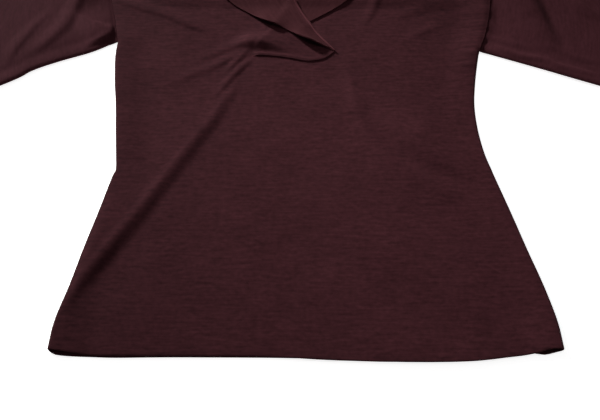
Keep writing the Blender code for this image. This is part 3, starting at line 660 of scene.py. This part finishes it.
def stations(seam, opening, outer, height, n):
    """Lines across the collar: the seam, the roll over the neck edge, then the leaf."""
    turn = np.array(ROLL_TURNS)
    along = np.hypot(*(seam - seam[0]).T)
    # On the front the roll is pressed flatter near the crossing, most of all at the tip.
    pressed = 0.38 * ease((200.0 - along) / 60.0) + 0.08 * ease(1.0 - along / 26.0)
    radius = (ROLL * (1.0 - pressed * (n > 0)))[:, None]
    roll = seam[:, None] + opening[:, None] * (radius * np.sin(turn))[..., None]
    base = height(seam)[0]
    rolled = lift(roll, base[:, None] + n * radius * (1 - np.cos(turn)))
    leaf = seam[:, None] + (outer - seam)[:, None] * LEAF_STEPS[:, None]
    _, middle, visible = height(leaf)
    up, pockets = leaf_lift(leaf, LEAF_STEPS, visible)
    leaf = leaf - np.stack([0 * pockets, 0.5 * pockets], -1)
    return np.concatenate([rolled, lift(leaf, middle + n * (2 * radius + up))], axis=1)


def over_left(at):
    z = crossed_z(at[..., 0], at[..., 1])
    if z.ndim == 1:
        return z, z, 1.0
    smooth = crossed_z(at[..., 0], at[..., 1], wider=26.0)
    return z, z + (smooth - z) * ease(LEAF_STEPS / 0.35), 1.0


def over_right(at):
    z = front_z(at[..., 0], at[..., 1])
    return z, z, 0.4 * ease((at[..., 1] - 148.0) / 22.0)


def under_back(at):
    z = back_z(at[..., 0], at[..., 1])
    return z, 0 * z + FLAP_Z + 2 * ROLL, 0.0


def turned_open(line, steps, hand):
    """At steps along a line, its normal on the neck's side."""
    way = walk(line, np.minimum(steps + .01, 1)) - walk(line, np.maximum(steps - .01, 0))
    way = way / np.linalg.norm(way, axis=-1)[..., None]
    return hand * np.stack([way[..., 1], -way[..., 0]], -1)


def front_leaf(neck, leaf, hand, height, steps):
    """The collar on one front, from its tip to the shoulder."""
    opening = turned_open(neck, steps, hand)
    return stations(walk(neck, steps) + opening * SEAM, opening, walk(leaf, steps), height, 1)


def shoulder_leaf(hand, angles):
    """The collar round one shoulder fold: hand is -1 on the left and 1 on the right."""
    tip = np.array([hand * SHOULDER_TIP[0], SHOULDER_TIP[1]])
    point = np.array([hand * NECK_POINT[0], NECK_POINT[1]])
    outer = np.array([hand * FLAP_TOP[0], FLAP_TOP[1]])
    opening = (point - tip) / np.hypot(*(point - tip))
    outward = -hand * np.array([-opening[1], opening[0]])
    seam = point + opening * COLLAR_GAP
    phi = np.radians(angles)[:, None]
    turn = np.array(ROLL_TURNS)[:, None]
    plan = np.vstack([seam + opening * ROLL * np.sin(turn),
                      seam + (outer - seam) * LEAF_STEPS[:, None]])
    at = np.vstack([np.repeat(point[None], len(turn), axis=0), plan[len(turn):]])
    top, below = front_z(at[:, 0], at[:, 1], folds=False), back_z(at[:, 0], at[:, 1])
    reach = (top - below) / 2 + ROLL * np.concatenate([1 - np.cos(turn[:, 0]),
                                                       2 + 0 * LEAF_STEPS])
    out = (0.7 * reach * np.sin(phi))[..., None] * outward
    up = LEAF_LIFT * np.concatenate([0 * turn[:, 0], LEAF_STEPS ** 2])
    z = (top + below) / 2 + reach * np.cos(phi) + up * np.maximum(np.cos(phi), 0.0)
    return lift(plan + out, z)


def back_flap(steps, turn=0.2):
    """The square flap, from the left shoulder to the right one."""
    corners = [(-FLAP_TOP[0], FLAP_TOP[1]), (-FLAP_CORNER[0], FLAP_CORNER[1]),
               (FLAP_CORNER[0], FLAP_CORNER[1]), (FLAP_TOP[0], FLAP_TOP[1])]
    outer = np.stack([np.interp(steps, [0.0, turn, 1 - turn, 1.0], [c[i] for c in corners])
                      for i in (0, 1)], -1)
    opening = turned_open(neck_back, steps, -1)
    seam = walk(neck_back, steps) + opening * COLLAR_GAP
    return stations(seam, opening, outer, under_back, -1)


# The collar's last colour is a painted highlight along its rolled edge.
collar_jersey = jersey("wine rayon jersey, doubled", "#280F12", "#351A1D", "#452428")
steps = np.array([0.0, 0.006] + between(0.006, 0.2, 0.009) + [0.2] + between(0.2, 0.985, 0.0125)
                 + [0.985])
turns = list(range(0, 181, 15))
flap_steps = np.array(between(0.0, 0.2, 0.025) + [0.2] + between(0.2, 0.8, 0.03) + [0.8]
                      + between(0.8, 1.0, 0.025))
grid = np.concatenate([
    front_leaf(NECK_A, LEAF_A, 1, over_left, steps), shoulder_leaf(-1, turns),
    back_flap(flap_steps), shoulder_leaf(1, turns[::-1]),
    front_leaf(NECK_B, LEAF_B, -1, over_right, steps)[::-1]])
MIDDLE = 20            # the grid's column near the middle of the leaf
length = np.concatenate(
    [[0], np.cumsum(np.linalg.norm(np.diff(grid[:, MIDDLE], axis=0), axis=1))])
width = np.cumsum(np.linalg.norm(np.diff(grid, axis=1, prepend=grid[:, :1]), axis=2), axis=1)
flat = np.stack([np.broadcast_to(length[:, None], width.shape), width], -1)
collar = sheet_object("sailor_collar", [(grid, flat)], COLLAR_WALL, collar_jersey)
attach(collar, "root")
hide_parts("collar")


# The sleeves: each is one piece of jersey sewn to a tube, laid flat, with the cuff turned in
# and the upper edge a soft fold. They drag in deep folds where they bend off the armholes.
LOWER_LEFT = [(-218.4, 117.0), (-246.4, 101.2), (-282.4, 87.4), (-312.5, 73.7),
              (-346.5, 51.7), (-502.7, -28.0)]
UPPER_LEFT = [(-213.0, 288.6), (-260.0, 281.0), (-307.6, 263.5), (-400.0, 200.0),
              (-567.0, 79.0)]
LOWER_RIGHT = [(213.7, 101.4), (279.8, 76.9), (344.8, 52.0), (511.5, -10.0)]
UPPER_RIGHT = [(213.0, 288.6), (262.0, 281.5), (309.0, 264.0), (405.0, 204.0),
               (571.0, 100.0)]
LEFT_SLEEVE_FOLDS = [
    Fold([(-266.5, 193, 1.6), (-273, 173, 2.3), (-277.5, 155, 3.0), (-285, 135, 2.8),
          (-297.5, 118, 2.1), (-309, 105, 1.2), (-315, 95, 0.2)], 12.0, 18.0),
    Fold([(-260, 214, 6.2), (-266, 193, 5.2), (-272, 176, 2.2), (-277, 162, 0.2)], 38.0, 90.0),
    Fold([(-308, 156, 0.4), (-317, 141, 1.3), (-327, 124, 1.8), (-335, 108, 1.8),
          (-340, 94, 1.2), (-343, 80, 0.2)], 9.0, 15.0),
    Fold([(-221.5, 144, 0.4), (-222.5, 136, 2.4), (-228, 127, 4.4), (-236, 119.5, 4.8),
          (-245, 112.5, 3.0), (-256, 106, 0.3)], 8.0, 85.0),
    Fold([(-372, 168, 0.3), (-404, 132, 2.2), (-432, 112, 0.3)], 9.0, 15.0),
    Fold([(-392, 62, 0.4), (-420, 88, 2.0), (-452, 104, 0.3)], 13.0, 9.0),
    Fold([(-470, 20, 0.3), (-492, 44, 1.5), (-520, 62, 0.3)], 12.0, 8.0),
]
RIGHT_SLEEVE_FOLDS = [
    Fold([(259.5, 236, 8.8), (268, 212, 11.2), (276, 189, 11.8), (284.3, 166, 9.6),
          (288.3, 155, 7.6), (292, 142, 5.8), (295.5, 130, 4.2), (300, 119, 2.6),
          (306, 105, 0.3)], 21.0, 52.0),
    Fold([(226, 112, 1.2), (239, 103, 1.8), (251, 96, 2.2), (265, 91, 2.4), (279, 89.5, 2.4),
          (292, 86, 2.2), (301, 79, 2.0), (315, 75, 2.0), (330, 70, 1.8), (350, 65, 0.4)],
         8.0, 7.0),
    Fold([(284, 113, 0.2), (297, 107, 0.9), (312, 100, 1.3), (326, 91, 1.4), (342, 86, 1.0),
          (360, 84, 0.2)], 9.0, 4.0),
    Fold([(220, 124, 0.9), (238, 117, 1.2), (262, 110, 0.9), (284, 106, 0.2)], 7.0, 5.0),
    Fold([(322, 196, 0.3), (348, 168, 2.4), (372, 150, 0.3)], 9.0, 15.0),
    Fold([(392, 84, 0.3), (424, 104, 2.1), (452, 110, 0.3)], 14.0, 9.0),
    Fold([(470, 32, 0.3), (494, 60, 1.5), (518, 76, 0.3)], 12.0, 8.0),
]
# How a sleeve lies: its side, the reach of its edges' round turn, its step down from the
# body at the armhole and how far that runs, the groove of the seam, the swell of the upper
# arm, and the dent at the underarm.
Lie = namedtuple("Lie", "hand reach step run groove mound underarm")
LEFT_LIE = Lie(-1, 4.2, 1.3, 6.0, 0.5, 3.6, 4.0)
RIGHT_LIE = Lie(1, 5.0, 0.9, 15.0, 0.2, 0.0, 1.6)


def sleeve_grid(lower, upper, arm, folds, lie):
    """Rings from the armhole to the cuff; the last ones turn the cuff's edge in."""
    low, high = spline(lower), spline(upper)
    length = 340.0
    steps = [0.0] + between(0.0, 0.06, 1.6 / length) + [0.06] + between(0.06, 1.0, 2.9 / length)
    steps = np.array(steps + [1.0])
    turns = [math.radians(a) for a in (90, 75, 60, 45, 30, 15, 0, -15, -30, -45, -60, -75)]
    inner = 0.02 + 0.96 * np.linspace(0.0, 1.0, 58)[1:-1]
    rings = []
    for t, p, q in zip(steps, walk(low, steps), walk(high, steps)):
        span = np.hypot(*(q - p))
        ring = [(lie.reach * (1 - math.cos(a)) / span, math.sin(a)) for a in turns]
        ring += [(f, -1.0) for f in inner]
        ring += [(1 - f, -s) for f, s in ring[:len(turns)]]
        ring += [(f, 1.0) for f in reversed(inner)]
        f, side = np.array(ring).T
        bow = walk(arm, f) + np.array([lie.hand * SEAM, 0])
        chord = bow[np.argmin(f)] + (bow[np.argmax(f)] - bow[np.argmin(f)]) * f[:, None]
        crest = front_z(*walk(arm, f).T)
        plan = p + (q - p) * f[:, None] + (bow - chord) * (1 - t) ** 3
        x, y = plan.T
        away = np.minimum(f, 1 - f) * span
        near = t * length
        top = LAYING_Z + LAYER + 1.8 * ease(1 - (1 - f) * span / 30.0) \
            + 2.3 * ease(1 - (f * span - 4.0) / 15.0)
        top = top + fold_height(x, y, folds) * ease(away / 10.0) * ease(near / 6.0 + 0.25)
        top = top + (0.3 + swell(x, y, 1.7)) * ease(away / 25.0) * ease((near - 8.0) / 25.0)
        pucker = np.sin(f * span / 3.1 + 1.6 * np.sin(f * 9.0))
        top = top + 0.2 * pucker * ease(1 - np.abs(near - 11.0) / 11.0) * ease(away / 8.0)
        top = top + lie.mound * (1.0 - max(1.0 - near / 48.0, 0.0) ** 2) \
            * ease((190.0 - near) / 120.0) * ease(away / 30.0)
        top = top + 1.6 * ease((t - 0.93) / 0.05) * ease(away / 12.0)
        top = top + (crest - lie.step - top) * max(1.0 - near / lie.run, 0.0) ** 2
        top = top - lie.groove * ease(1 - np.abs(near - 1.5) / 3.0) * ease(away / 3.0 + 0.3)
        top = top - lie.underarm * ease(1 - f / 0.16) * ease(1 - near / 14.0)
        top = np.maximum(top, 1.8)
        rings.append(lift(plan, (top + LAYING_Z) / 2 + (top - LAYING_Z) / 2 * side))
    rings = np.array(rings)
    # The seam allowance lies inside the armhole.
    inside = rings[0] - rings[2]
    inside = inside / np.linalg.norm(inside, axis=1)[:, None]
    across = walk(arm, 1.0) - walk(arm, 0.0)
    across = across / np.hypot(*across)
    slim = (1.2 * (1 - np.abs(side)) * np.sign(0.5 - f))[:, None] * across
    allowance = []
    for depth, drop in ((4.5, 1.2), (2.5, 1.2), (1.0, 0.9), (0.3, 0.4)):
        row = rings[0] + inside * depth
        row[:, 2] = rings[0][:, 2] - side * drop
        row[:, :2] = row[:, :2] + slim * drop / 1.2
        allowance.append(row)
    rings = np.concatenate([np.array(allowance), rings])
    way = rings[-1] - rings[-4]
    way = way / np.linalg.norm(way, axis=1)[:, None]
    normal = np.stack([0 * side, 0 * side, -side], -1) * (np.abs(side) > 0.9)[:, None]
    hem = []
    for angle in (30, 60, 90, 120, 150, 180):
        a = math.radians(angle)
        hem.append(rings[-1] + 0.65 * (way * math.sin(a) + normal * (1 - math.cos(a))))
    for inwards in (2.0, 4.0, 7.0):
        hem.append(hem[5] - way * inwards)
    rings = np.concatenate([rings, np.array(hem)])
    around = np.concatenate([[0], np.cumsum(np.linalg.norm(np.diff(rings[4], axis=0), axis=1))])
    down = np.linalg.norm(rings - rings[:1], axis=2)
    flat = np.stack([np.broadcast_to(around[None], down.shape), down], -1)
    rings = np.concatenate([rings, rings[:, :1]], axis=1)
    closing = flat[:, -1:] + (2.0, 0.0)
    flat = np.concatenate([flat, closing], axis=1)
    return (rings, flat) if lie.hand < 0 else (rings[:, ::-1], flat[:, ::-1])


# Painted light: the sleeves are the body's jersey painted a little lighter, to make up for the
# lamp's light falling off towards the sides.
sleeve_jersey = jersey("wine rayon jersey, sleeves", "#2A1215", "#391C21")
for name, lower, upper, arm, folds, lie in (
        ("left", LOWER_LEFT, UPPER_LEFT, ARM_LEFT, LEFT_SLEEVE_FOLDS, LEFT_LIE),
        ("right", LOWER_RIGHT, UPPER_RIGHT, ARM_RIGHT, RIGHT_SLEEVE_FOLDS, RIGHT_LIE)):
    grid = sleeve_grid(lower, upper, arm, folds, lie)
    sleeve = sheet_object("jersey_sleeve_" + name, [grid], WALL, sleeve_jersey)
    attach(sleeve, "root")
    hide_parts("sleeve_" + name)
